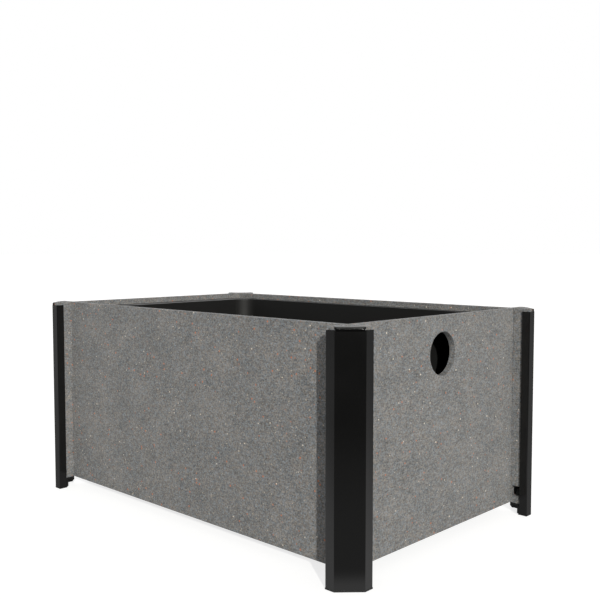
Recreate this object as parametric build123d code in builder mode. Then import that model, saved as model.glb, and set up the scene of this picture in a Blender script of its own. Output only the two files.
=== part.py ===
from build123d import *
import math
import os

# Planter box: four composite boards that cross at the corners with halving joints,
# black corner posts slid over the crossed board tips, moulded corner feet, a slatted
# floor on two angle bearers, and a lift-out plastic liner.
#
# Units are millimetres.  X runs along the long panels, Y along the end panels, +Z is up.
# The origin is on the ground, under the centre of the box.

# ------------------------------------------------------------------ driving sizes
box_length = 836.0            # over the outer faces of the end panels
box_width = 528.0             # over the outer faces of the long panels
panel_height = 400.0
panel_thickness = 13.0
ground_clearance = 21.5       # lower edge of the panels above the ground
tip_length = 35.1             # board that runs on past the neighbouring board
slot_clearance = 0.25         # on each side of a board in its halving slot

hand_hole_diameter = 80.0
hand_hole_drop = 70.0         # centre of the hole below the upper edge of the panel

post_wall = 2.3
channel_clearance = 0.8       # between a board tip and the post around it
lip_length = 16.8             # post lip along the inner face of a board tip
bend_radius = 0.9             # outside of the post's folds
post_drop = 5.7               # top of the post's flanges below the boards' upper edge
face_rise = 2.0               # top of the diagonal face above the flanges
trim_at_fold = 1.6            # how far the raised part of the face stops short of a fold

cap_thickness = 3.1
cap_clearance = 0.5           # between the cap and the board tips beside it
cap_corner_cut = 5.0          # blunt ends of the cap's long edge
cap_plug_depth = 9.0
cap_plug_wall = 1.6
plug_clearance = 0.4          # between a plug and the post that it enters

sole_thickness = 2.5          # part of the foot that shows below the post
seat_thickness = 4.0          # ledge that carries the boards
seat_gap = 0.7                # inner edge of the seat short of the neighbouring board
foot_setback = 17.0           # inner edge of the foot's body from the neighbouring board
sole_setback = 19.5           # inner edge of the sole, further in so that the foot's toe is blunt
foot_face_depth = 8.0         # solid part of the foot behind the diagonal face
prong_length = 3.5            # prong that hangs from the inner edge of the seat
prong_width = 4.0
prong_drop = 12.1             # lower end of the prong below the boards

notch_start = 1.2             # lock window in a long panel's tip, from the end panel
notch_length = 24.2
notch_rise = 15.0             # lower edge of the window above the panel's lower edge
notch_height = 20.3
tab_thickness = 2.4           # spring tab on the foot, with a hook that enters the window
tab_clearance = 0.5
tab_inset = 6.0               # spring tab from the window's near end
hook_depth = 5.0
hook_height = 10.0

bearer_leg = 28.0             # angle bearer, both legs
bearer_thickness = 2.5
bearer_lift = 12.0            # bearer above the lower edge of the panels
bearer_end_gap = 20.0         # end of a bearer to the end panel
slat_count = 6
slat_thickness = 13.0
slat_gap = 14.0               # between two slats, for drainage
slat_side_gap = 0.5           # end of a slat to the upright leg of the bearer
slat_end_gap = 10.0           # outermost slat to the end panel

screw_shank = 4.0
screw_head = 8.0
screw_head_height = 2.4
screw_hole_clearance = 0.4    # on the diameter
bearer_screw_count = 5
bearer_screw_inset = 35.0     # first screw from the end of the bearer
bearer_screw_drop = 6.5       # screw below the top of the upright leg
bearer_screw_bite = 10.0      # length of shank in the board
slat_screw_edge = 22.0        # screw from the long edge of its slat
slat_screw_end = 12.0         # screw from the end of its slat
slat_screw_tail = 4.0         # point of the screw below the bearer
head_sink = 0.4               # countersunk head below the slat's upper face

liner_drop = 12.0             # top of the rim below the panels' upper edge
liner_wall = 3.0
rim_gap = 2.0                 # between the rim and the panels
rim_corner = 8.0
rim_skirt = 8.0               # turned-down edge of the rim
end_ledge = 45.0              # rim at the ends, wide enough for a hand behind the hole
side_ledge = 20.0             # rim along the sides
liner_draft = 2.5             # degrees, the walls lean in towards the floor
mouth_corner = 40.0
floor_corner = 25.0
liner_pad_height = 3.0
liner_pad_radius = 16.0
pad_edge = 70.0               # pad centres in from the liner's floor edge
rest_gap = 0.3                # under the liner's pads
drain_radius = 6.0
drain_row_pitch = 180.0       # a row of drains on each side of the centre line

# ------------------------------------------------------------------ worked-out sizes
panel_top = ground_clearance + panel_height
half_length = box_length / 2
half_width = box_width / 2
inside_length = box_length - 2 * panel_thickness
inside_width = box_width - 2 * panel_thickness

lip_inner = -(panel_thickness + channel_clearance)
lip_outer = lip_inner - post_wall
web_inner = channel_clearance
web_outer = web_inner + post_wall
flange_inner = tip_length + channel_clearance
post_reach = flange_inner + post_wall
lip_edge = post_reach - lip_length
flange_top = panel_top - post_drop
face_top = flange_top + face_rise
face_line = post_reach + web_outer            # local x + y on the outside of the diagonal face
face_back = face_line - post_wall * math.sqrt(2)

seat_bottom = ground_clearance - seat_thickness
slat_bottom = ground_clearance + bearer_lift + bearer_thickness
slat_top = slat_bottom + slat_thickness
bearer_length = inside_length - 2 * bearer_end_gap
slat_length = inside_width - 2 * (bearer_thickness + slat_side_gap)
slat_row = inside_length - 2 * slat_end_gap
slat_width = (slat_row - (slat_count - 1) * slat_gap) / slat_count
screw_hole = screw_shank + screw_hole_clearance

rim_top = panel_top - liner_drop
rim_bottom = rim_top - liner_wall
liner_bottom = slat_top + rest_gap + liner_pad_height
rim_length = inside_length - 2 * rim_gap
rim_width = inside_width - 2 * rim_gap
mouth_length = rim_length - 2 * end_ledge
mouth_width = rim_width - 2 * side_ledge
lean = (rim_top - liner_bottom) * math.tan(math.radians(liner_draft))

corner_signs = {
    "front_right": (1, -1),
    "back_right": (1, 1),
    "back_left": (-1, 1),
    "front_left": (-1, -1),
}

os.makedirs("parts", exist_ok=True)


def corner_plane(corner, height):
    """Plane at the corner of the boards' outer faces; local x and y both point outwards."""
    sign_x, sign_y = corner_signs[corner]
    outwards = (sign_x, 0, 0) if sign_x * sign_y > 0 else (0, sign_y, 0)
    return Plane(
        origin=(sign_x * half_length, sign_y * half_width, height),
        x_dir=outwards,
        z_dir=(0, 0, 1),
    )


def long_tip_along_x(corner):
    """True where the long panel's tip runs along the corner plane's local x."""
    sign_x, sign_y = corner_signs[corner]
    return sign_x * sign_y > 0


def rectangle_between(x_min, x_max, y_min, y_max):
    """Add a rectangle to the open sketch, given by its edges."""
    with Locations(((x_min + x_max) / 2, (y_min + y_max) / 2)):
        Rectangle(x_max - x_min, y_max - y_min)


def rectangle_pair(x_min, x_max, y_min, y_max):
    """Add a rectangle and its mirror image across the corner's diagonal."""
    rectangle_between(x_min, x_max, y_min, y_max)
    rectangle_between(y_min, y_max, x_min, x_max)


def diagonal_band(outer_line, inner_line, start):
    """Add the strip between two 45 degree lines, cut off at start beside each board tip."""
    Polygon(
        (start, outer_line - start),
        (outer_line - start, start),
        (inner_line - start, start),
        (start, inner_line - start),
        align=None,
    )


def outside_fold(vertex):
    """True for the profile's corners on the outermost planes of the post."""
    return max(vertex.X, vertex.Y) > post_reach - post_wall / 10


def save(part, name):
    """Label a finished piece and write it under its node name."""
    part.label = name
    export_step(part, f"parts/{name}.step")


# ------------------------------------------------------------------ boards
bearer_z = ground_clearance + bearer_lift
bearer_screw_z = bearer_z + bearer_leg - bearer_screw_drop
bearer_screw_span = bearer_length - 2 * bearer_screw_inset
bearer_screw_pitch = bearer_screw_span / (bearer_screw_count - 1)


def make_long_panel(side):
    """Long panel; side is -1 at the front and 1 at the back. Its slots open upwards."""
    outer_plane = Plane(origin=(0, side * half_width, 0), x_dir=(-side, 0, 0), z_dir=(0, side, 0))
    inner_plane = outer_plane.offset(-panel_thickness)
    slot_width = panel_thickness + 2 * slot_clearance
    slot_x = half_length - panel_thickness / 2
    slot_depth = panel_height / 2 + slot_clearance
    slot_z = panel_top - slot_depth / 2
    notch_x = half_length + notch_start + notch_length / 2
    notch_z = ground_clearance + notch_rise + notch_height / 2
    with BuildPart() as panel:
        with BuildSketch(outer_plane):
            with Locations((0, ground_clearance + panel_height / 2)):
                Rectangle(box_length + 2 * tip_length, panel_height)
            with Locations((slot_x, slot_z), (-slot_x, slot_z)):
                Rectangle(slot_width, slot_depth, mode=Mode.SUBTRACT)
            with Locations((notch_x, notch_z), (-notch_x, notch_z)):
                Rectangle(notch_length, notch_height, mode=Mode.SUBTRACT)
        extrude(amount=-panel_thickness)
        with BuildSketch(inner_plane):
            with Locations((0, bearer_screw_z)):
                with GridLocations(bearer_screw_pitch, 1, bearer_screw_count, 1):
                    Circle(screw_hole / 2)
        extrude(amount=bearer_screw_bite + screw_hole_clearance, mode=Mode.SUBTRACT)
    return panel.part


def make_end_panel(side):
    """End panel with its hand hole; side is -1 at the left. Its slots open downwards."""
    outer_plane = Plane(origin=(side * half_length, 0, 0), x_dir=(0, side, 0), z_dir=(side, 0, 0))
    slot_width = panel_thickness + 2 * slot_clearance
    slot_y = half_width - panel_thickness / 2
    slot_depth = panel_height / 2 + slot_clearance
    slot_z = ground_clearance + slot_depth / 2
    with BuildPart() as panel:
        with BuildSketch(outer_plane):
            with Locations((0, ground_clearance + panel_height / 2)):
                Rectangle(box_width + 2 * tip_length, panel_height)
            with Locations((slot_y, slot_z), (-slot_y, slot_z)):
                Rectangle(slot_width, slot_depth, mode=Mode.SUBTRACT)
            with Locations((0, panel_top - hand_hole_drop)):
                Circle(hand_hole_diameter / 2, mode=Mode.SUBTRACT)
        extrude(amount=-panel_thickness)
    return panel.part


save(make_long_panel(-1), "front_panel")
save(make_long_panel(1), "back_panel")
save(make_end_panel(-1), "left_end_panel")
save(make_end_panel(1), "right_end_panel")


# ------------------------------------------------------------------ corner posts
def make_post(corner):
    """Post: a channel round each board tip, joined by a diagonal face."""
    with BuildPart() as post:
        with BuildSketch(corner_plane(corner, sole_thickness)) as profile:
            rectangle_pair(lip_outer, web_outer, flange_inner, post_reach)
            rectangle_pair(lip_outer, lip_inner, lip_edge, post_reach)
            rectangle_pair(web_inner, web_outer, lip_edge, post_reach)
            diagonal_band(face_line, face_back, web_outer)
            fillet(profile.vertices().filter_by(outside_fold), bend_radius)
        extrude(amount=flange_top - sole_thickness)
        with BuildSketch(corner_plane(corner, flange_top)):
            diagonal_band(face_line, face_back, web_outer + trim_at_fold)
        extrude(amount=face_rise)
    return post.part


# ------------------------------------------------------------------ post caps
def make_cap(corner):
    """Plate over the post's hollow, with a thin-walled plug that holds it."""
    plug_start = web_outer + plug_clearance
    plug_line = face_back - plug_clearance * math.sqrt(2)
    blunt_end = face_line - cap_corner_cut
    with BuildPart() as cap:
        with BuildSketch(corner_plane(corner, face_top)):
            Polygon(
                (cap_clearance, cap_clearance),
                (blunt_end, cap_clearance),
                (blunt_end, cap_corner_cut),
                (cap_corner_cut, blunt_end),
                (cap_clearance, blunt_end),
                align=None,
            )
        extrude(amount=cap_thickness)
        with BuildSketch(corner_plane(corner, face_top)):
            Polygon(
                (plug_start, plug_start),
                (plug_line - plug_start, plug_start),
                (plug_start, plug_line - plug_start),
                align=None,
            )
            offset(amount=-cap_plug_wall, mode=Mode.SUBTRACT)
        extrude(amount=-cap_plug_depth)
    return cap.part


# ------------------------------------------------------------------ corner feet
def make_foot(corner):
    """Foot: sole under the post, plug inside it, seat under the boards, and a lock tab."""
    plug_start = web_outer + plug_clearance
    plug_line = face_back - plug_clearance * math.sqrt(2)
    tab_start = notch_start + tab_inset
    tab_end = lip_edge - tab_clearance
    prong_inner = -(panel_thickness + prong_width) / 2
    hook_bottom = ground_clearance + notch_rise + tab_clearance
    tab_top = hook_bottom + hook_height
    with BuildPart() as foot:
        with BuildSketch(corner_plane(corner, 0)):
            rectangle_pair(lip_outer, web_outer, sole_setback, post_reach)
            diagonal_band(face_line, face_line - foot_face_depth * math.sqrt(2), web_outer)
        extrude(amount=sole_thickness)
        with BuildSketch(corner_plane(corner, sole_thickness)):
            rectangle_pair(-panel_thickness, 0, foot_setback, tip_length)
            rectangle_pair(lip_outer, web_outer, foot_setback, lip_edge - plug_clearance)
            diagonal_band(plug_line, plug_line - foot_face_depth * math.sqrt(2), plug_start)
        extrude(amount=seat_bottom - sole_thickness)
        with BuildSketch(corner_plane(corner, seat_bottom)):
            rectangle_pair(-panel_thickness, 0, seat_gap, tip_length)
            rectangle_pair(0, plug_start, 0, lip_edge - plug_clearance)
            Polygon(
                (plug_start, plug_start),
                (plug_line - plug_start, plug_start),
                (plug_start, plug_line - plug_start),
                align=None,
            )
        extrude(amount=seat_thickness)
        with BuildSketch(corner_plane(corner, seat_bottom)):
            rectangle_pair(prong_inner, prong_inner + prong_width, seat_gap, seat_gap + prong_length)
        extrude(amount=-(prong_drop - seat_thickness))
        with BuildSketch(corner_plane(corner, ground_clearance)):
            if long_tip_along_x(corner):
                rectangle_between(tab_start, tab_end, web_inner, web_inner + tab_thickness)
            else:
                rectangle_between(web_inner, web_inner + tab_thickness, tab_start, tab_end)
        extrude(amount=tab_top - ground_clearance)
        with BuildSketch(hook_plane(corner, tab_start, tab_end)):
            Polygon(
                (web_inner, hook_bottom),
                (-hook_depth, hook_bottom),
                (web_inner, tab_top),
                align=None,
            )
        extrude(amount=tab_end - tab_start)
    return foot.part


def hook_plane(corner, tab_start, tab_end):
    """Upright plane across the lock tab; local x points outwards and local y points up."""
    ground = corner_plane(corner, 0)
    if long_tip_along_x(corner):
        origin = ground.from_local_coords((tab_start, 0, 0))
        return Plane(origin=origin, x_dir=ground.y_dir, z_dir=ground.x_dir)
    origin = ground.from_local_coords((0, tab_end, 0))
    return Plane(origin=origin, x_dir=ground.x_dir, z_dir=-ground.y_dir)


for corner in corner_signs:
    save(make_post(corner), f"corner_post_{corner}")
    save(make_cap(corner), f"post_cap_{corner}")
    save(make_foot(corner), f"corner_foot_{corner}")


# ------------------------------------------------------------------ floor
bearer_face = inside_width / 2
slat_screw_y = slat_length / 2 - slat_screw_end
slat_pitch = slat_width + slat_gap
slat_screw_pitch = slat_width - 2 * slat_screw_edge


def slat_centre(index):
    """X of a slat's centre line, counted from the left."""
    return (index - (slat_count - 1) / 2) * slat_pitch


def slat_screw_places():
    """Centres of all slat screws in plan."""
    places = []
    for index in range(slat_count):
        for side_x in (-1, 1):
            for side_y in (-1, 1):
                x = slat_centre(index) + side_x * slat_screw_pitch / 2
                places.append((x, side_y * slat_screw_y))
    return places


def bearer_screw_places():
    """X of the screws along one bearer."""
    first = -bearer_screw_span / 2
    return [first + index * bearer_screw_pitch for index in range(bearer_screw_count)]


def make_bearer(side):
    """Angle bearer on a long panel's inner face; side is -1 at the front."""
    wall = side * bearer_face
    with BuildPart() as bearer:
        with BuildSketch(Plane.YZ.offset(-bearer_length / 2)):
            edges_y = sorted((wall, wall - side * bearer_thickness))
            rectangle_between(edges_y[0], edges_y[1], bearer_z, bearer_z + bearer_leg)
            edges_y = sorted((wall, wall - side * bearer_leg))
            rectangle_between(edges_y[0], edges_y[1], bearer_z, bearer_z + bearer_thickness)
        extrude(amount=bearer_length)
        with BuildSketch(Plane.XZ.offset(-wall)):
            with Locations(*[(x, bearer_screw_z) for x in bearer_screw_places()]):
                Circle(screw_hole / 2)
        extrude(amount=side * bearer_thickness, mode=Mode.SUBTRACT)
        with BuildSketch(Plane.XY.offset(bearer_z)):
            with Locations(*[place for place in slat_screw_places() if place[1] * side > 0]):
                Circle(screw_hole / 2)
        extrude(amount=bearer_thickness, mode=Mode.SUBTRACT)
    return bearer.part


save(make_bearer(-1), "floor_bearer_front")
save(make_bearer(1), "floor_bearer_back")

for index in range(slat_count):
    with BuildPart() as slat:
        with BuildSketch(Plane.XY.offset(slat_bottom)):
            with Locations((slat_centre(index), 0)):
                Rectangle(slat_width, slat_length)
        extrude(amount=slat_thickness)
        with Locations(Plane.XY.offset(slat_top)):
            with Locations((slat_centre(index), 0)):
                with GridLocations(slat_screw_pitch, 2 * slat_screw_y, 2, 2):
                    CounterSinkHole(
                        radius=screw_hole / 2,
                        counter_sink_radius=(screw_head + screw_hole_clearance) / 2 + head_sink,
                        counter_sink_angle=90,
                    )
    save(slat.part, f"floor_slat_{index + 1}")

with BuildPart() as bearer_screws:
    for side in (-1, 1):
        for x in bearer_screw_places():
            head_plane = Plane(
                origin=(x, side * (bearer_face - bearer_thickness), bearer_screw_z),
                x_dir=(1, 0, 0),
                z_dir=(0, side, 0),
            )
            with BuildSketch(head_plane):
                Circle(screw_head / 2)
            extrude(amount=-screw_head_height)
            with BuildSketch(head_plane):
                Circle(screw_shank / 2)
            extrude(amount=bearer_thickness + bearer_screw_bite)
save(bearer_screws.part, "bearer_screws")

with BuildPart() as slat_screws:
    head_top = slat_top - head_sink
    cone_height = (screw_head - screw_shank) / 2
    for place in slat_screw_places():
        with BuildSketch(Plane.XY.offset(head_top)):
            with Locations(place):
                Circle(screw_head / 2)
        with BuildSketch(Plane.XY.offset(head_top - cone_height)):
            with Locations(place):
                Circle(screw_shank / 2)
        loft()
        with BuildSketch(Plane.XY.offset(head_top - cone_height)):
            with Locations(place):
                Circle(screw_shank / 2)
        extrude(amount=-(head_top - cone_height - bearer_z + slat_screw_tail))
save(slat_screws.part, "slat_screws")

# ------------------------------------------------------------------ lift-out liner
with BuildPart() as liner:
    with BuildSketch(Plane.XY.offset(liner_bottom)):
        RectangleRounded(mouth_length - 2 * lean, mouth_width - 2 * lean, floor_corner)
    with BuildSketch(Plane.XY.offset(rim_top)):
        RectangleRounded(mouth_length, mouth_width, mouth_corner)
    loft()
    with BuildSketch(Plane.XY.offset(rim_bottom)):
        RectangleRounded(rim_length, rim_width, rim_corner)
    extrude(amount=liner_wall)
    with BuildSketch(Plane.XY.offset(rim_bottom)):
        RectangleRounded(rim_length, rim_width, rim_corner)
        RectangleRounded(
            rim_length - 2 * liner_wall,
            rim_width - 2 * liner_wall,
            rim_corner - liner_wall,
            mode=Mode.SUBTRACT,
        )
    extrude(amount=-rim_skirt)
    with BuildSketch(Plane.XY.offset(liner_bottom + liner_wall)):
        RectangleRounded(
            mouth_length - 2 * lean - 2 * liner_wall,
            mouth_width - 2 * lean - 2 * liner_wall,
            floor_corner - liner_wall,
        )
    with BuildSketch(Plane.XY.offset(rim_top)):
        RectangleRounded(
            mouth_length - 2 * liner_wall,
            mouth_width - 2 * liner_wall,
            mouth_corner - liner_wall,
        )
    loft(mode=Mode.SUBTRACT)
    pad_pitch_x = (mouth_length - 2 * lean) / 2 - pad_edge
    pad_pitch_y = mouth_width - 2 * lean - 2 * pad_edge
    with BuildSketch(Plane.XY.offset(liner_bottom)):
        with GridLocations(pad_pitch_x, pad_pitch_y, 3, 2):
            Circle(liner_pad_radius)
    extrude(amount=-liner_pad_height)
    with BuildSketch(Plane.XY.offset(liner_bottom)):
        with GridLocations(slat_pitch, drain_row_pitch, slat_count - 1, 2):
            Circle(drain_radius)
    extrude(amount=liner_wall, mode=Mode.SUBTRACT)
save(liner.part, "liner")
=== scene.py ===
"""Looks of the planter box: boards, corner posts, caps, feet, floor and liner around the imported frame."""

import logging
import math
from dataclasses import dataclass, field
from enum import Enum

import bpy
import numpy as np
from mathutils.geometry import tessellate_polygon
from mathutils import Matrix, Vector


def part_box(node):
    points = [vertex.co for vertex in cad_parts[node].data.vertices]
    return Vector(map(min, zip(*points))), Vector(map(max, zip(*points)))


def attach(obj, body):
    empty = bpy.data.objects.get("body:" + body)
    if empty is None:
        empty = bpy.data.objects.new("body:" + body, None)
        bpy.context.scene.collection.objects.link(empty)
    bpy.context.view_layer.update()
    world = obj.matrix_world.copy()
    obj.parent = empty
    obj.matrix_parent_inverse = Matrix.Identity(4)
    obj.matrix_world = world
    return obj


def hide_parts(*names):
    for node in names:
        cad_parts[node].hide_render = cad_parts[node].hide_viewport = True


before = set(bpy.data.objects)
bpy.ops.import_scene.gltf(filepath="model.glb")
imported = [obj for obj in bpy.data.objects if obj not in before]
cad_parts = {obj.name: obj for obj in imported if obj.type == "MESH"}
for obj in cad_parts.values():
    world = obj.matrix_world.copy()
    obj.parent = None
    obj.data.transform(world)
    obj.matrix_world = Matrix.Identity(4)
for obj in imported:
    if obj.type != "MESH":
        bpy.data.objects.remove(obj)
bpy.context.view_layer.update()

log = logging.getLogger("planter")
MM = 0.001
BASE_BODY = "planter"
SMOOTH_ANGLE = math.radians(40)
BEVEL_ANGLE = math.radians(35)
WELD_DISTANCE = 0.001 * MM
WHITE = (1, 1, 1, 1)


# ---------------------------------------------------------------- shapes
@dataclass(frozen=True)
class Placement:
    """A right-handed set of axes in the row frame, in metres."""

    origin: tuple[float, float, float]
    across: tuple[float, float, float]
    upward: tuple[float, float, float]

    def to_row(self, points: np.ndarray) -> np.ndarray:
        """Turn local points into row-frame points.

        Args:
            points: Array (..., 3) of local across, upward and outward values.

        Returns:
            Array (..., 3): origin plus each local value times its axis, where the outward
            axis is across times upward.
        """
        across = np.array(self.across, float)
        upward = np.array(self.upward, float)
        axes = np.stack([across, upward, np.cross(across, upward)])
        return np.array(self.origin, float) + points @ axes


def signed_area(loop: np.ndarray) -> float:
    """Half the sum of cross products of neighbouring points: positive when anticlockwise."""
    after = np.roll(loop, -1, axis=0)
    return 0.5 * float(np.sum(loop[:, 0] * after[:, 1] - after[:, 0] * loop[:, 1]))


def wound(loop: np.ndarray, anticlockwise: bool) -> np.ndarray:
    """The loop, reversed where needed so that it runs the asked way round."""
    return loop if (signed_area(loop) > 0) == anticlockwise else loop[::-1]


def rounded_loop(corners: np.ndarray, radii: np.ndarray, steps: int = 6) -> np.ndarray:
    """Round the corners of a closed outline.

    Each corner becomes an arc tangent to its two sides. The arc starts and ends at radius
    times the tangent of half the turn from the corner, and its centre lies on the bisector.

    Args:
        corners: Array (n, 2) of corner points in order.
        radii: Array (n,) of corner radii; zero keeps a corner sharp.
        steps: Segments in each arc.

    Returns:
        Array (m, 2) with steps + 1 points for each rounded corner and one for each sharp one.
    """
    before = np.roll(corners, 1, axis=0) - corners
    after = np.roll(corners, -1, axis=0) - corners
    before /= np.linalg.norm(before, axis=1, keepdims=True)
    after /= np.linalg.norm(after, axis=1, keepdims=True)
    half_corner = np.arccos(np.clip(np.sum(before * after, axis=1), -1, 1)) / 2
    bisector = before + after
    bisector /= np.linalg.norm(bisector, axis=1, keepdims=True)
    pieces = []
    for corner, radius, inward, half, towards in zip(corners, radii, bisector, half_corner, before):
        if radius <= 0:
            pieces.append(corner[None])
            continue
        centre = corner + inward * radius / math.sin(half)
        start = corner + towards * radius / math.tan(half) - centre
        end = 2 * inward * np.dot(start, inward) - start
        first = math.atan2(start[1], start[0])
        turn = (math.atan2(end[1], end[0]) - first + math.pi) % (2 * math.pi) - math.pi
        angle = first + turn * np.linspace(0, 1, steps + 1)
        pieces.append(centre + radius * np.stack([np.cos(angle), np.sin(angle)], axis=1))
    return np.concatenate(pieces)


def rectangle(x_min: float, x_max: float, y_min: float, y_max: float) -> np.ndarray:
    """Corners of an upright rectangle, anticlockwise."""
    return np.array([[x_min, y_min], [x_max, y_min], [x_max, y_max], [x_min, y_max]])


def circle(centre: tuple[float, float], radius: float, count: int) -> np.ndarray:
    """Points of a circle: centre plus radius times the cosine and sine of even angles."""
    angle = np.linspace(0, 2 * np.pi, count, endpoint=False)
    return np.array(centre) + radius * np.stack([np.cos(angle), np.sin(angle)], axis=1)


def inset(loop: np.ndarray, distance: np.ndarray) -> np.ndarray:
    """Offset a closed outline to the left of its direction of travel.

    Each point moves along the mean of its two sides' left-hand normals, by the distance over
    the cosine of half the turn, so every side moves by exactly the distance.

    Args:
        loop: Array (n, 2).
        distance: Array (k,) of offsets.

    Returns:
        Array (k, n, 2).
    """
    side = np.roll(loop, -1, axis=0) - loop
    side /= np.linalg.norm(side, axis=1, keepdims=True)
    normal = np.stack([-side[:, 1], side[:, 0]], axis=1)
    mean = normal + np.roll(normal, 1, axis=0)
    mean /= np.linalg.norm(mean, axis=1, keepdims=True)
    reach = 1 / np.sum(mean * normal, axis=1, keepdims=True)
    return loop[None] + distance[:, None, None] * (mean * reach)[None]


def edge_stack(loop: np.ndarray, low: float, high: float, radius: float, steps: int) -> np.ndarray:
    """Rings of a wall between two heights with rounded edges.

    The edge is a quarter circle: ring k stands radius times one minus the sine of its angle
    inside the outline and radius times one minus the cosine of it below the top.

    Args:
        loop: Outline (n, 2), with the solid on its left.
        low: Height of the lower cap.
        high: Height of the upper cap.
        radius: Radius of the edges.
        steps: Segments across each edge.

    Returns:
        Array (2 * steps + 2, n, 3), from the upper cap to the lower one.
    """
    angle = np.linspace(0, np.pi / 2, steps + 1)
    inwards = radius * (1 - np.sin(angle))
    drop = radius * (1 - np.cos(angle))
    inwards = np.concatenate([inwards, inwards[::-1]])
    height = np.concatenate([high - drop, (low + drop)[::-1]])
    flat = inset(loop, inwards)
    return np.concatenate([flat, np.broadcast_to(height[:, None, None], flat.shape[:2] + (1,))], axis=2)


class Shell:
    """A mesh put together from closed shells, each made of stacks of rings between two caps."""

    def __init__(self) -> None:
        """Start with no vertices and no faces."""
        self._points: list[np.ndarray] = []
        self._quads: list[np.ndarray] = []
        self._triangles: list[np.ndarray] = []
        self._count = 0

    def add(self, stacks: list[np.ndarray], placement: Placement) -> None:
        """Add one closed shell.

        Args:
            stacks: Arrays (rings, n, 3) in local axes. The first is the outer boundary and the
                others are holes. Their first rings bound the first cap, which faces along the
                local outward axis, and their last rings bound the last cap.
            placement: Where the shell stands.
        """
        starts = []
        for stack in stacks:
            rings, around, _ = stack.shape
            index = self._count + np.arange(rings * around).reshape(rings, around)
            beside = np.roll(index, -1, axis=1)
            quads = np.stack([index[1:], beside[1:], beside[:-1], index[:-1]], axis=-1)
            self._quads.append(quads.reshape(-1, 4))
            self._points.append(placement.to_row(stack).reshape(-1, 3))
            starts.append((index[0], index[-1]))
            self._count += rings * around
        for cap, flip in ((0, False), (1, True)):
            ring = 0 if cap == 0 else -1
            flat_rings = [stack[ring] * [1, 1, 0] for stack in stacks]
            found = np.array(tessellate_polygon([flat_ring.tolist() for flat_ring in flat_rings]), int)
            lookup = np.concatenate([start[cap] for start in starts])
            flat = np.concatenate(flat_rings)
            a, b, c = (flat[found[:, k]] for k in range(3))
            turn = (b - a)[:, 0] * (c - a)[:, 1] - (b - a)[:, 1] * (c - a)[:, 0]
            backward = (turn < 0) != flip
            found[backward] = found[backward][:, ::-1]
            self._triangles.append(lookup[found[np.abs(turn) > 0]])

    def add_prism(
        self,
        outline: np.ndarray,
        placement: Placement,
        low: float,
        high: float,
        radius: float = 0.5 * MM,
        holes: tuple[np.ndarray, ...] = (),
        steps: int = 3,
    ) -> None:
        """Add a prism with rounded edges, with holes through it.

        Args:
            outline: Outer outline (n, 2) in local across and upward values.
            placement: Where the prism stands.
            low: Lower end along the local outward axis.
            high: Upper end along it.
            radius: Radius of its edges.
            holes: Outlines of the holes.
            steps: Segments across each edge.
        """
        loops = [wound(outline, True)] + [wound(hole, False) for hole in holes]
        self.add([edge_stack(loop, low, high, radius, steps) for loop in loops], placement)

    def build(self, name: str) -> bpy.types.Object:
        """Make the object.

        Args:
            name: Name of the piece.

        Returns:
            The linked object, smooth on its rounded edges, with face-weighted normals.
        """
        mesh = bpy.data.meshes.new(name)
        faces = np.concatenate(self._quads).tolist() + np.concatenate(self._triangles).tolist()
        mesh.from_pydata(np.concatenate(self._points).tolist(), [], faces)
        mesh.polygons.foreach_set("use_smooth", np.ones(len(faces), bool))
        mesh.set_sharp_from_angle(angle=SMOOTH_ANGLE)
        mesh.validate()
        piece = bpy.data.objects.new(name, mesh)
        bpy.context.scene.collection.objects.link(piece)
        weighted = piece.modifiers.new("face_weighted_normals", "WEIGHTED_NORMAL")
        weighted.keep_sharp = True
        return piece


# ---------------------------------------------------------------- materials
def linear(hex_colour: str) -> tuple[float, float, float, float]:
    """Turn an sRGB hex colour into the linear colour that shaders take.

    Args:
        hex_colour: Six hex digits after a hash sign.

    Returns:
        Linear red, green, blue and an alpha of one. A part above 0.04045 is the 2.4th power of
        itself plus 0.055, over 1.055; a lower one is itself over 12.92.
    """
    parts = [int(hex_colour[i : i + 2], 16) / 255 for i in (1, 3, 5)]
    red, green, blue = (c / 12.92 if c <= 0.04045 else ((c + 0.055) / 1.055) ** 2.4 for c in parts)
    return red, green, blue, 1.0


def add_node(
    tree: bpy.types.NodeTree,
    kind: str,
    settings: dict[str, object] | None = None,
    inputs: dict[str | int, object] | None = None,
) -> bpy.types.Node:
    """Add a node to a tree.

    Args:
        tree: The node tree.
        kind: Type name, without the leading ShaderNode.
        settings: Properties of the node.
        inputs: For each socket, a value or the output socket to link to it.

    Returns:
        The new node.
    """
    node = tree.nodes.new("ShaderNode" + kind)
    for name, value in (settings or {}).items():
        setattr(node, name, value)
    for socket, value in (inputs or {}).items():
        if isinstance(value, bpy.types.NodeSocket):
            tree.links.new(value, node.inputs[socket])
        else:
            node.inputs[socket].default_value = value
    return node


def new_material(name: str) -> tuple[bpy.types.Material, bpy.types.NodeTree, bpy.types.Node]:
    """Make a material with one principled shader.

    Args:
        name: Name of the material.

    Returns:
        The material, its node tree and its shader.
    """
    material = bpy.data.materials.new(name)
    material.use_nodes = True
    tree = material.node_tree
    return material, tree, tree.nodes["Principled BSDF"]


def per_metre(feature: float) -> float:
    """Noise scale whose features are about that many metres across."""
    return 1 / feature


@dataclass(frozen=True)
class Fleck:
    """A kind of chip pressed into the board: its colour, spacing, size, share of cells and seed."""

    colour: str
    spacing: float
    size: float
    share: float
    seed: float


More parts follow.
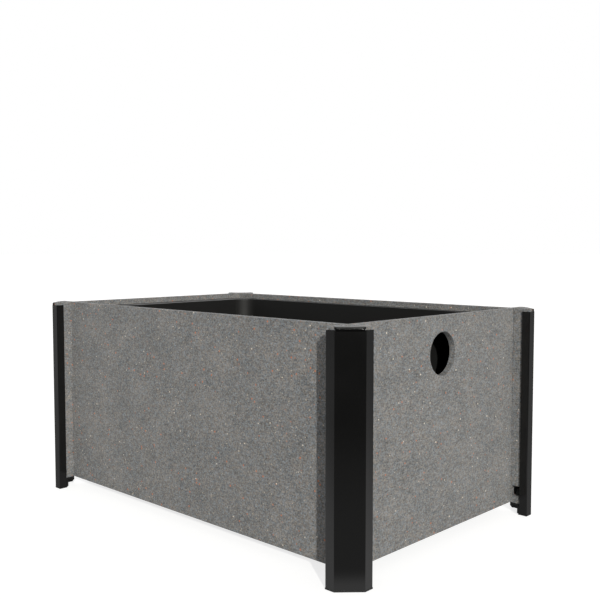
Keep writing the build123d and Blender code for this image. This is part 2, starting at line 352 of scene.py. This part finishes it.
@dataclass(frozen=True)
class CompositeBoard:
    """Pressed mineral and wood-fibre composite board.

    The sheet is pressed from ground fibre, so the eye sees a grey ground of fine grains, soft
    clouds that lean bluish or brownish, faint lengthwise fibres, faint broad upright bands
    from the press on the long boards, and sparse small chips. It is matte, with a slight
    tooth. Real grains are finer than 2.2 mm; they are drawn coarser so that they show.
    """

    name: str = "pressed_composite_board"
    ground: str = "#7d7d7d"
    cool: str = "#6c7984"
    warm: str = "#827669"
    ground_share: float = 0.62
    grain: float = 2.2 * MM
    tooth_grain: float = 3.5 * MM
    cloud: float = 60 * MM
    patch: float = 17 * MM
    fibre: float = 1.4 * MM
    fibre_shrink: float = 0.08
    band: float = 70 * MM
    tooth: float = 0.25 * MM
    mean_level: float = 0.985
    grain_weight: float = 0.70
    tooth_weight: float = 0.50
    cloud_weight: float = 0.42
    patch_weight: float = 0.18
    fibre_weight: float = 0.90
    band_weight: float = 0.16
    flecks: tuple[Fleck, ...] = (
        Fleck("#5c5855", 9 * MM, 1.3 * MM, 0.40, 12.4),
        Fleck("#c07a56", 11 * MM, 1.5 * MM, 0.50, 7.7),
        Fleck("#929faa", 10 * MM, 1.3 * MM, 0.40, 3.1),
        Fleck("#c6bbaa", 10 * MM, 1.3 * MM, 0.50, 0.0),
        Fleck("#eadfcf", 16 * MM, 1.3 * MM, 0.45, 5.3),
    )

    def material(self) -> bpy.types.Material:
        """Build the material from Object coordinates, which are metres in the row frame.

        The brightness is the mean level plus, for each layer of noise, its weight times the
        noise less one half. The tint runs from cool to warm with the grains and the clouds.

        Returns:
            The material.
        """
        material, tree, shader = new_material(self.name)
        place = add_node(tree, "TexCoord").outputs["Object"]
        shrink = (self.fibre_shrink, self.fibre_shrink, 1.0)
        lengthwise = add_node(tree, "Mapping", {}, {"Vector": place, "Scale": shrink}).outputs["Vector"]
        along_x = add_node(tree, "Mapping", {}, {"Vector": place, "Scale": (1.0, 0.0, 0.0)}).outputs["Vector"]
        noises = []
        for vector, size, detail in (
            (place, self.tooth_grain, 3.0),
            (place, self.cloud, 3.0),
            (place, self.patch, 2.0),
            (lengthwise, self.fibre, 2.0),
            (along_x, self.band, 1.0),
        ):
            inputs = {"Vector": vector, "Scale": per_metre(size), "Detail": detail}
            noises.append(add_node(tree, "TexNoise", {}, inputs).outputs[0])
        soft, cloud, patch, fibres, bands = noises
        grains = add_node(tree, "TexVoronoi", {}, {"Vector": place, "Scale": per_metre(self.grain)})
        tone = add_node(tree, "SeparateColor", {}, {"Color": grains.outputs["Color"]})
        tint = 0.0
        for layer, weight in ((tone.outputs[0], 0.6), (patch, 0.15), (cloud, 0.25)):
            tint = add_node(
                tree, "Math", {"operation": "MULTIPLY_ADD"}, {0: layer, 1: weight, 2: tint}
            ).outputs[0]
        tint = add_node(tree, "MapRange", {}, {"Value": tint, "From Min": 0.36, "From Max": 0.64}).outputs[0]
        colour = add_node(
            tree, "Mix", {"data_type": "RGBA"}, {0: tint, 6: linear(self.cool), 7: linear(self.warm)}
        ).outputs[2]
        colour = add_node(
            tree, "Mix", {"data_type": "RGBA"}, {0: self.ground_share, 6: colour, 7: linear(self.ground)}
        ).outputs[2]
        layers = (
            (tone.outputs[1], self.grain_weight),
            (soft, self.tooth_weight),
            (cloud, self.cloud_weight),
            (patch, self.patch_weight),
            (fibres, self.fibre_weight),
            (bands, self.band_weight),
        )
        level = self.mean_level - sum(weight for _, weight in layers) / 2
        for layer, weight in layers:
            level = add_node(
                tree, "Math", {"operation": "MULTIPLY_ADD"}, {0: layer, 1: weight, 2: level}
            ).outputs[0]
        grey = add_node(tree, "CombineColor", {}, {0: level, 1: level, 2: level}).outputs[0]
        colour = add_node(
            tree, "Mix", {"data_type": "RGBA", "blend_type": "MULTIPLY"}, {0: 1.0, 6: colour, 7: grey}
        ).outputs[2]
        for fleck in self.flecks:
            colour = self._scatter(tree, place, fleck, colour)
        tree.links.new(colour, shader.inputs["Base Color"])
        rough = add_node(tree, "MapRange", {}, {"Value": soft, "To Min": 0.62, "To Max": 0.85}).outputs[0]
        tree.links.new(rough, shader.inputs["Roughness"])
        height = soft
        for layer, weight in ((tone.outputs[2], 0.35), (fibres, 0.5)):
            height = add_node(
                tree, "Math", {"operation": "MULTIPLY_ADD"}, {0: layer, 1: weight, 2: height}
            ).outputs[0]
        bump = add_node(tree, "Bump", {}, {"Height": height, "Strength": 0.5, "Distance": self.tooth})
        tree.links.new(bump.outputs[0], shader.inputs["Normal"])
        shader.inputs["IOR"].default_value = 1.45
        return material

    def _scatter(
        self, tree: bpy.types.NodeTree, place: bpy.types.NodeSocket, fleck: Fleck, under: bpy.types.NodeSocket
    ) -> bpy.types.NodeSocket:
        """Lay chips of one kind over a colour.

        A chip fills the middle of a random cell where the distance to the cell's point is
        under the chip's size and the cell's random number is under its share. Its edge is
        soft over the outer part of its size.

        Args:
            tree: The material's node tree.
            place: Position in metres.
            fleck: The kind of chip.
            under: Colour below the chips.

        Returns:
            The colour with the chips on it.
        """
        seed = (fleck.seed, fleck.seed, fleck.seed)
        moved = add_node(tree, "Mapping", {}, {"Vector": place, "Location": seed}).outputs["Vector"]
        cells = add_node(tree, "TexVoronoi", {}, {"Vector": moved, "Scale": per_metre(fleck.spacing)})
        pick = add_node(tree, "SeparateColor", {}, {"Color": cells.outputs["Color"]})
        share = fleck.size / fleck.spacing
        size = add_node(
            tree, "Math", {"operation": "MULTIPLY_ADD"}, {0: pick.outputs[1], 1: share, 2: share / 2}
        ).outputs[0]
        away = add_node(
            tree, "Math", {"operation": "DIVIDE"}, {0: cells.outputs["Distance"], 1: size}
        ).outputs[0]
        inside = add_node(
            tree, "MapRange", {},
            {"Value": away, "From Min": 0.5, "From Max": 1.0, "To Min": 1.0, "To Max": 0.0},
        ).outputs[0]
        chosen = add_node(
            tree, "Math", {"operation": "LESS_THAN"}, {0: pick.outputs[0], 1: fleck.share}
        ).outputs[0]
        mask = add_node(tree, "Math", {"operation": "MULTIPLY"}, {0: inside, 1: chosen}).outputs[0]
        return add_node(
            tree, "Mix", {"data_type": "RGBA"}, {0: mask, 6: under, 7: linear(fleck.colour)}
        ).outputs[2]


@dataclass(frozen=True)
class BlackFinish:
    """A black surface with a fine grain and slow patches of handling and dust in its gloss."""

    name: str
    colour: str
    roughness: float
    grain: float
    grain_height: float
    patch: float
    patch_detail: float
    smoother: float
    rougher: float
    ior: float

    def material(self) -> bpy.types.Material:
        """Build the material: noise as its grain, and its roughness from slow noise.

        Returns:
            The material.
        """
        material, tree, shader = new_material(self.name)
        place = add_node(tree, "TexCoord").outputs["Object"]
        inputs = {"Vector": place, "Scale": per_metre(self.grain), "Detail": 2.0}
        grain = add_node(tree, "TexNoise", {}, inputs).outputs[0]
        inputs = {"Height": grain, "Strength": 0.6, "Distance": self.grain_height}
        bump = add_node(tree, "Bump", {}, inputs)
        tree.links.new(bump.outputs[0], shader.inputs["Normal"])
        inputs = {"Vector": place, "Scale": per_metre(self.patch), "Detail": self.patch_detail}
        patches = add_node(tree, "TexNoise", {}, inputs).outputs[0]
        low = self.roughness - self.smoother
        high = self.roughness + self.rougher
        rough = add_node(tree, "MapRange", {}, {"Value": patches, "To Min": low, "To Max": high})
        tree.links.new(rough.outputs[0], shader.inputs["Roughness"])
        shader.inputs["Base Color"].default_value = linear(self.colour)
        shader.inputs["IOR"].default_value = self.ior
        return material


@dataclass(frozen=True)
class PowderCoat(BlackFinish):
    """Black powder coat on extruded aluminium.

    Sprayed powder melts into an even film, so the eye sees a satin black with wide soft
    highlights, broken by a very fine orange peel.
    """

    name: str = "black_powder_coat"
    colour: str = "#0a0a0a"
    roughness: float = 0.16
    grain: float = 1.6 * MM
    grain_height: float = 0.02 * MM
    patch: float = 60 * MM
    patch_detail: float = 4.0
    smoother: float = 0.05
    rougher: float = 0.07
    ior: float = 1.5


@dataclass(frozen=True)
class MouldedPlastic(BlackFinish):
    """Injection-moulded black polypropylene.

    The mould is spark-eroded, so the eye sees a dull black with an even fine grain and
    patches of dust. The real grain is near 0.1 mm and is drawn at 0.9 mm so that it shows.
    """

    name: str = "black_polypropylene_moulding"
    colour: str = "#0b0b0b"
    roughness: float = 0.52
    grain: float = 0.9 * MM
    grain_height: float = 0.05 * MM
    patch: float = 45 * MM
    patch_detail: float = 5.0
    smoother: float = 0.08
    rougher: float = 0.08
    ior: float = 1.49


@dataclass(frozen=True)
class DrawnMetal:
    """Bare metal drawn or rolled lengthwise.

    Its die leaves fine scratches along X, so the eye sees streaks in the gloss. They are
    drawn 0.8 mm wide, coarser than the real ones, so that they show.
    """

    name: str
    colour: str
    roughness: float
    streak: float = 0.8 * MM
    streak_shrink: float = 0.02
    spread: float = 0.1

    def material(self) -> bpy.types.Material:
        """Build the material: noise drawn out along X sets the roughness.

        Returns:
            The material.
        """
        material, tree, shader = new_material(self.name)
        place = add_node(tree, "TexCoord").outputs["Object"]
        shrink = (self.streak_shrink, 1.0, 1.0)
        along = add_node(tree, "Mapping", {}, {"Vector": place, "Scale": shrink}).outputs["Vector"]
        inputs = {"Vector": along, "Scale": per_metre(self.streak), "Detail": 3.0}
        streaks = add_node(tree, "TexNoise", {}, inputs).outputs[0]
        low = self.roughness - self.spread
        high = self.roughness + self.spread
        rough = add_node(tree, "MapRange", {}, {"Value": streaks, "To Min": low, "To Max": high})
        tree.links.new(rough.outputs[0], shader.inputs["Roughness"])
        shader.inputs["Base Color"].default_value = linear(self.colour)
        shader.inputs["Metallic"].default_value = 1.0
        return material


# ---------------------------------------------------------------- sub-assemblies
class Side(Enum):
    """The four walls of the box, by their CAD node."""

    FRONT = "front_panel"
    BACK = "back_panel"
    LEFT = "left_end_panel"
    RIGHT = "right_end_panel"


CORNER_SIGNS = {
    "front_right": (1, -1),
    "back_right": (1, 1),
    "back_left": (-1, 1),
    "front_left": (-1, -1),
}


def dress(piece: bpy.types.Object, material: bpy.types.Material) -> None:
    """Give a piece one material."""
    piece.data.materials.clear()
    piece.data.materials.append(material)


def stand_for(piece: bpy.types.Object, node: str, material: bpy.types.Material) -> None:
    """Dress a new piece, hide the CAD node that it stands for, and let it ride on the planter's body.

    Args:
        piece: The new piece.
        node: The CAD node that it stands for.
        material: Its finish.
    """
    dress(piece, material)
    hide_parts(node)
    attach(piece, BASE_BODY)
    log.info("%s: %d vertices", piece.name, len(piece.data.vertices))


@dataclass
class Boards:
    """The four crossed boards of the box."""

    finish: CompositeBoard = field(default_factory=CompositeBoard)
    edge_radius: float = 0.7 * MM
    slot_clearance: float = 0.25 * MM
    hole_diameter: float = 80 * MM
    hole_drop: float = 70 * MM
    notch_start: float = 1.2 * MM
    notch_length: float = 24.2 * MM
    notch_rise: float = 15 * MM
    notch_height: float = 20.3 * MM
    hole_facets: int = 96

    def build(self) -> None:
        """Build the four boards from their CAD boxes."""
        material = self.finish.material()
        for side in Side:
            low, high = (np.array(corner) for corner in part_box(side.value))
            long_board = side in (Side.FRONT, Side.BACK)
            along = 0 if long_board else 1
            through = 1 - along
            outward = 1.0 if high[through] + low[through] > 0 else -1.0
            across = np.zeros(3)
            across[along] = -outward if long_board else outward
            origin = np.zeros(3)
            origin[through] = low[through] if outward > 0 else high[through]
            placement = Placement(tuple(origin), tuple(across), (0.0, 0.0, 1.0))
            half = high[along]
            thickness = high[through] - low[through]
            outline, holes = self._outline(long_board, half, low[2], high[2])
            shell = Shell()
            shell.add_prism(outline, placement, 0.0, thickness, self.edge_radius, holes)
            board = shell.build("board_" + side.name.lower())
            stand_for(board, side.value, material)

    def _outline(
        self, long_board: bool, half: float, bottom: float, top: float
    ) -> tuple[np.ndarray, tuple[np.ndarray, ...]]:
        """Outline of a board with its two halving slots, and its holes.

        Args:
            long_board: True for a long board, whose slots open upwards.
            half: Half its length.
            bottom: Its lower edge.
            top: Its upper edge.

        Returns:
            The outline and the outlines of its holes, in local across and upward values.
        """
        neighbour = Side.RIGHT if long_board else Side.BACK
        axis = 0 if long_board else 1
        low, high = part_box(neighbour.value)
        slot_in = low[axis] - self.slot_clearance
        slot_out = high[axis] + self.slot_clearance
        middle = (bottom + top) / 2
        if long_board:
            floor = middle - self.slot_clearance
            tip = [[half, bottom], [half, top]]
            right = tip + [[slot_out, top], [slot_out, floor], [slot_in, floor], [slot_in, top]]
            outline = np.array(right + [[-x, z] for x, z in right[::-1]])
            start = high[axis] + self.notch_start
            window = rectangle(
                start,
                start + self.notch_length,
                bottom + self.notch_rise,
                bottom + self.notch_rise + self.notch_height,
            )
            return outline, (window, window * [-1, 1])
        ceiling = middle + self.slot_clearance
        slot = [[slot_in, bottom], [slot_in, ceiling], [slot_out, ceiling], [slot_out, bottom]]
        right = slot + [[half, bottom], [half, top]]
        outline = np.array(right + [[-x, z] for x, z in right[::-1]])
        hand_hole = circle((0.0, top - self.hole_drop), self.hole_diameter / 2, self.hole_facets)
        return outline, (hand_hole,)


@dataclass
class CornerPosts:
    """The four extruded posts with their caps and feet."""

    finish: PowderCoat = field(default_factory=PowderCoat)
    moulding: MouldedPlastic = field(default_factory=MouldedPlastic)
    wall: float = 2.3 * MM
    clearance: float = 0.8 * MM
    lip_length: float = 16.8 * MM
    fold_radius: float = 0.9 * MM
    bend_radius: float = 1.6 * MM
    slight_radius: float = 0.2 * MM
    face_rise: float = 2.0 * MM
    fold_trim: float = 1.6 * MM
    cap_clearance: float = 0.5 * MM
    cap_corner_cut: float = 5.0 * MM
    cap_thickness: float = 3.1 * MM
    cap_corner_radius: float = 1.0 * MM
    cap_edge_radius: float = 0.6 * MM
    plug_clearance: float = 0.4 * MM
    plug_wall: float = 1.6 * MM
    foot_edge_radius: float = 0.35 * MM
    edge_radius: float = 0.25 * MM

    def build(self) -> None:
        """Build every corner."""
        coat = self.finish.material()
        moulding = self.moulding.material()
        for corner, signs in CORNER_SIGNS.items():
            self._build_post(corner, signs, coat)
            self._build_cap(corner, signs, moulding)
            self._dress_foot(corner, moulding)

    def _placement(self, signs: tuple[int, int]) -> Placement:
        """Find the axes at the corner of the boards' outer faces, both pointing away from the box.

        Args:
            signs: Signs of the corner's X and Y.

        Returns:
            The placement, with its axes ordered so that the outward one points up.
        """
        sign_x, sign_y = signs
        corner_x = sign_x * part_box(Side.RIGHT.value)[1].x
        corner_y = sign_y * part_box(Side.BACK.value)[1].y
        if sign_x * sign_y > 0:
            return Placement((corner_x, corner_y, 0.0), (sign_x, 0, 0), (0, sign_y, 0))
        return Placement((corner_x, corner_y, 0.0), (0, sign_y, 0), (sign_x, 0, 0))

    def _section(self) -> tuple[float, float, float, float]:
        """Read the post's section from its CAD box.

        Returns:
            Place of the lip's face, place of the outermost face, and the sums of both local
            values on the diagonal face and on its back.
        """
        low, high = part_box("corner_post_back_right")
        corner_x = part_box(Side.RIGHT.value)[1].x
        lip = low.x - corner_x
        reach = high.x - corner_x
        web = self.clearance + self.wall
        face = reach + web
        return lip, reach, face, face - self.wall * math.sqrt(2)

    def _build_post(self, corner: str, signs: tuple[int, int], material: bpy.types.Material) -> None:
        """One post: its section carried upwards, and the raised top of the diagonal face.

        The section is a closed outline: a lip, an end flange and a web round each board tip,
        and the diagonal face between the two folds. Its second half mirrors the first.

        Args:
            corner: Name of the corner.
            signs: Signs of its X and Y.
            material: Finish of the post.
        """
        lip, reach, face, back = self._section()
        web = self.clearance + self.wall
        free = reach - self.lip_length
        half = [[lip, free], [lip, reach], [web, reach]]
        inner = [
            [web, back - web],
            [web, free],
            [self.clearance, free],
            [self.clearance, reach - self.wall],
            [lip + self.wall, reach - self.wall],
            [lip + self.wall, free],
        ]
        mirror = [[y, x] for x, y in half[::-1]]
        inner_mirror = [[y, x] for x, y in inner[::-1]]
        corners = np.array(half + mirror + inner_mirror + inner)
        outermost = corners.max(axis=1) > reach - self.wall / 2
        beside_lip = corners.min(axis=1) < 0
        inside_bend = (corners.max(axis=1) > free + self.wall) & ~outermost & beside_lip
        radii = np.where(outermost | inside_bend, self.fold_radius, self.slight_radius)
        radii[outermost & beside_lip] = self.bend_radius
        node = f"corner_post_{corner}"
        low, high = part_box(node)
        shell = Shell()
        flange_top = high.z - self.face_rise
        placement = self._placement(signs)
        shell.add_prism(rounded_loop(corners, radii), placement, low.z, flange_top, self.edge_radius)
        start = web + self.fold_trim
        outer_half = [[start, face - start], [face - start, start]]
        raised = np.array(outer_half + [[back - start, start], [start, back - start]])
        shell.add_prism(raised, placement, flange_top - self.face_rise, high.z, self.edge_radius)
        stand_for(shell.build(f"post_{corner}"), node, material)

    def _build_cap(self, corner: str, signs: tuple[int, int], material: bpy.types.Material) -> None:
        """One cap: a five-sided plate over the post's hollow, and the rim of its plug.

        Args:
            corner: Name of the corner.
            signs: Signs of its X and Y.
            material: Finish of the cap.
        """
        _, _, face, back = self._section()
        node = f"post_cap_{corner}"
        low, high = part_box(node)
        cut = self.cap_corner_cut
        blunt = face - cut
        clear = self.cap_clearance
        plate = np.array([[clear, clear], [blunt, clear], [blunt, cut], [cut, blunt], [clear, blunt]])
        rounding = np.full(len(plate), self.cap_corner_radius)
        placement = self._placement(signs)
        shell = Shell()
        underside = high.z - self.cap_thickness
        shell.add_prism(rounded_loop(plate, rounding), placement, underside, high.z, self.cap_edge_radius)
        start = self.clearance + self.wall + self.plug_clearance
        line = back - self.plug_clearance * math.sqrt(2)
        plug = np.array([[start, start], [line - start, start], [start, line - start]])
        hollow = inset(plug, np.array([self.plug_wall]))[0]
        middle = high.z - self.cap_thickness / 2
        shell.add_prism(plug, placement, low.z, middle, self.slight_radius, (hollow,))
        stand_for(shell.build(f"cap_{corner}"), node, material)

    def _dress_foot(self, corner: str, material: bpy.types.Material) -> None:
        """Soften and dress one foot, which keeps its CAD shape."""
        soften(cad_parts[f"corner_foot_{corner}"], self.foot_edge_radius)
        dress(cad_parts[f"corner_foot_{corner}"], material)


def soften(node: bpy.types.Object, width: float) -> None:
    """Round the sharp edges of a CAD node with modifiers, after joining its triangles.

    Args:
        node: The CAD node.
        width: Width of the rounded edges.
    """
    weld = node.modifiers.new("join_triangles", "WELD")
    weld.merge_threshold = WELD_DISTANCE
    bevel = node.modifiers.new("soft_edges", "BEVEL")
    bevel.width = width
    bevel.segments = 2
    bevel.limit_method = "ANGLE"
    bevel.angle_limit = BEVEL_ANGLE
    bevel.harden_normals = False


@dataclass
class Floor:
    """Slats, their bearers and all screws."""

    finish: CompositeBoard = field(
        default_factory=lambda: CompositeBoard(name="pressed_composite_slat", ground="#777777")
    )
    bearer: DrawnMetal = field(
        default_factory=lambda: DrawnMetal("mill_finish_aluminium", "#c3c5c7", 0.38)
    )
    steel: DrawnMetal = field(default_factory=lambda: DrawnMetal("zinc_plated_steel", "#b4b7b3", 0.3))
    slat_edge_radius: float = 0.6 * MM
    bearer_edge_radius: float = 0.4 * MM

    def build(self) -> None:
        """Dress every piece of the floor."""
        board = self.finish.material()
        metal = self.bearer.material()
        steel = self.steel.material()
        for name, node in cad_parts.items():
            if name.startswith("floor_slat"):
                soften(node, self.slat_edge_radius)
                dress(node, board)
            elif name.startswith("floor_bearer"):
                soften(node, self.bearer_edge_radius)
                dress(node, metal)
            elif name.endswith("screws"):
                dress(node, steel)


@dataclass
class Liner:
    """The lift-out liner."""

    finish: MouldedPlastic = field(
        default_factory=lambda: MouldedPlastic("black_liner_polypropylene", "#0e0e0e", 0.65)
    )
    edge_radius: float = 0.8 * MM

    def build(self) -> None:
        """Dress the liner."""
        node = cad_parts["liner"]
        soften(node, self.edge_radius)
        dress(node, self.finish.material())


# ---------------------------------------------------------------- studio
@dataclass
class Studio:
    """Camera, light and pale floor."""

    camera_at: tuple[float, float, float] = (1.2692, -1.2684, 0.5420)
    azimuth: float = 43.66
    tilt: float = 3.53
    lens: float = 50.0
    far_clip: float = 200.0
    sun_azimuth: float = 55.0
    sun_elevation: float = 22.0
    sun_strength: float = 3.05
    sun_width: float = 1.5
    sun_tint: tuple[float, float, float] = (1.0, 0.985, 0.93)
    fill_azimuth: float = 225.0
    fill_elevation: float = 40.0
    fill_strength: float = 0.8
    fill_width: float = 70.0
    ambient: float = 0.33
    side_glow: float = 0.2
    panel_azimuth: float = -30.0
    panel_glow: float = 0.5
    backdrop_glow: float = 0.8
    floor_half: float = 60.0
    floor_grey: float = 0.40
    floor_glow: float = 0.76
    floor_bounce: float = 0.6
    floor_side_glow: float = 0.34
    floor_near_glow: float = 0.44
    floor_far_glow: float = 0.24
    floor_panel_glow: float = 0.12

    def build(self) -> None:
        """Place the camera, the lights and the floor."""
        scene = bpy.context.scene
        scene.view_settings.view_transform = "Standard"
        lens = bpy.data.cameras.new("camera")
        lens.lens = self.lens
        lens.clip_end = self.far_clip
        camera = bpy.data.objects.new("camera", lens)
        camera.location = self.camera_at
        camera.rotation_euler = (math.radians(90 - self.tilt), 0, math.radians(self.azimuth))
        scene.collection.objects.link(camera)
        scene.camera = camera
        for name, azimuth, elevation, strength, width, tint in (
            ("sun", self.sun_azimuth, self.sun_elevation, self.sun_strength, self.sun_width, self.sun_tint),
            ("fill", self.fill_azimuth, self.fill_elevation, self.fill_strength, self.fill_width, (1, 1, 1)),
        ):
            light = bpy.data.lights.new(name, "SUN")
            light.energy = strength
            light.angle = math.radians(width)
            light.color = tint
            lamp = bpy.data.objects.new(name, light)
            lamp.rotation_euler = (math.radians(90 - elevation), 0, math.radians(azimuth))
            scene.collection.objects.link(lamp)
        self._build_world(scene)
        self._build_floor(scene)

    def _summed_ramps(
        self,
        tree: bpy.types.NodeTree,
        vector: bpy.types.NodeSocket,
        base: float,
        ramps: tuple[tuple[float, float, float, float], ...],
    ) -> bpy.types.NodeSocket:
        """A base strength plus smooth ramps over the part of a vector that points a level way.

        That part is the dot product of the vector with the level unit vector at an azimuth.

        Args:
            tree: The node tree.
            vector: A direction or a position.
            base: The strength before any ramp.
            ramps: For each ramp its azimuth in degrees, the part where it starts and where it
                ends, and the amount that it adds by then.

        Returns:
            The strength.
        """
        strength = base
        for azimuth, start, end, amount in ramps:
            turn = math.radians(azimuth)
            way = (math.sin(turn), -math.cos(turn), 0.0)
            part = add_node(tree, "VectorMath", {"operation": "DOT_PRODUCT"}, {0: vector, 1: way})
            ramp = add_node(
                tree, "MapRange", {"interpolation_type": "SMOOTHSTEP"},
                {"Value": part.outputs["Value"], "From Min": start, "From Max": end, "To Max": amount},
            )
            total = add_node(tree, "Math", {"operation": "ADD"}, {0: strength, 1: ramp.outputs[0]})
            strength = total.outputs[0]
        return strength

    def _build_world(self, scene: bpy.types.Scene) -> None:
        """White to the eye, dimmer as ambient light, and a lit backdrop with a dark camera side.

        A glossy ray sees a bright backdrop behind the object, dim sides, a soft light panel at
        the front left, and darkness on the side that the camera stands on.

        Args:
            scene: The scene that gets the world.
        """
        world = bpy.data.worlds.new("studio")
        world.use_nodes = True
        scene.world = world
        tree = world.node_tree
        tree.nodes.clear()
        path = add_node(tree, "LightPath")
        direction = add_node(tree, "TexCoord").outputs["Generated"]
        glossy = self._summed_ramps(tree, direction, self.side_glow, (
            (self.azimuth, -0.3, 0.8, -self.side_glow),
            (self.azimuth, -0.3, -0.9, self.backdrop_glow),
            (self.panel_azimuth, 0.86, 0.98, self.panel_glow),
        ))
        strength = add_node(
            tree, "Mix", {"data_type": "FLOAT"},
            {0: path.outputs["Is Glossy Ray"], 2: self.ambient, 3: glossy},
        ).outputs[0]
        for ray in ("Is Camera Ray", "Is Transmission Ray"):
            strength = add_node(
                tree, "Math", {"operation": "MAXIMUM"}, {0: strength, 1: path.outputs[ray]}
            ).outputs[0]
        light = add_node(tree, "Background", {}, {"Color": WHITE, "Strength": strength})
        add_node(tree, "OutputWorld", {}, {"Surface": light.outputs[0]})

    def _build_floor(self, scene: bpy.types.Scene) -> None:
        """A wide pale floor that reads white where it is lit and keeps the object's shadow.

        To glossy rays the floor is bright under the object and fades as it runs to the
        camera's side, which is what a sheen low on the object shows.

        Args:
            scene: The scene that gets the floor.
        """
        half = self.floor_half
        corners = [(-half, -half, 0), (half, -half, 0), (half, half, 0), (-half, half, 0)]
        mesh = bpy.data.meshes.new("studio_floor")
        mesh.from_pydata(corners, [], [(0, 1, 2, 3)])
        floor = bpy.data.objects.new("studio_floor", mesh)
        scene.collection.objects.link(floor)
        material, tree, shader = new_material("pale_floor")
        path = add_node(tree, "LightPath")
        seen = add_node(
            tree, "Math", {"operation": "MAXIMUM"},
            {0: path.outputs["Is Camera Ray"], 1: path.outputs["Is Transmission Ray"]},
        ).outputs[0]
        grey = (self.floor_grey, self.floor_grey, self.floor_grey, 1)
        pale = (self.floor_bounce, self.floor_bounce, self.floor_bounce, 1)
        lit = add_node(tree, "BsdfDiffuse", {}, {"Color": grey})
        glow = add_node(tree, "Emission", {}, {"Color": WHITE, "Strength": self.floor_glow})
        bright = add_node(tree, "AddShader", {}, {0: lit.outputs[0], 1: glow.outputs[0]})
        plain = add_node(tree, "BsdfDiffuse", {}, {"Color": pale})
        place = add_node(tree, "TexCoord").outputs["Object"]
        level = self._summed_ramps(tree, place, self.floor_side_glow, (
            (self.azimuth, 0.3, 0.52, self.floor_near_glow),
            (self.azimuth, 0.53, 0.60, self.floor_far_glow - self.floor_near_glow - self.floor_side_glow),
            (self.azimuth, 0.6, 1.9, -0.8 * self.floor_far_glow),
            (self.panel_azimuth, 0.5, 2.5, self.floor_panel_glow),
        ))
        mirrored = add_node(tree, "Emission", {}, {"Color": WHITE, "Strength": level})
        mixed = add_node(
            tree, "MixShader", {},
            {0: path.outputs["Is Glossy Ray"], 1: plain.outputs[0], 2: mirrored.outputs[0]},
        )
        mixed = add_node(tree, "MixShader", {}, {0: seen, 1: mixed.outputs[0], 2: bright.outputs[0]})
        tree.links.new(mixed.outputs[0], tree.nodes["Material Output"].inputs["Surface"])
        tree.nodes.remove(shader)
        mesh.materials.append(material)


def main() -> None:
    """Build the planter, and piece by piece."""
    logging.basicConfig(level=logging.INFO, format="%(name)s %(message)s")
    Studio().build()
    for assembly in (Boards(), CornerPosts(), Floor(), Liner()):
        assembly.build()
        log.info("%s built", type(assembly).__name__)


if __name__ == "__main__":
    main()
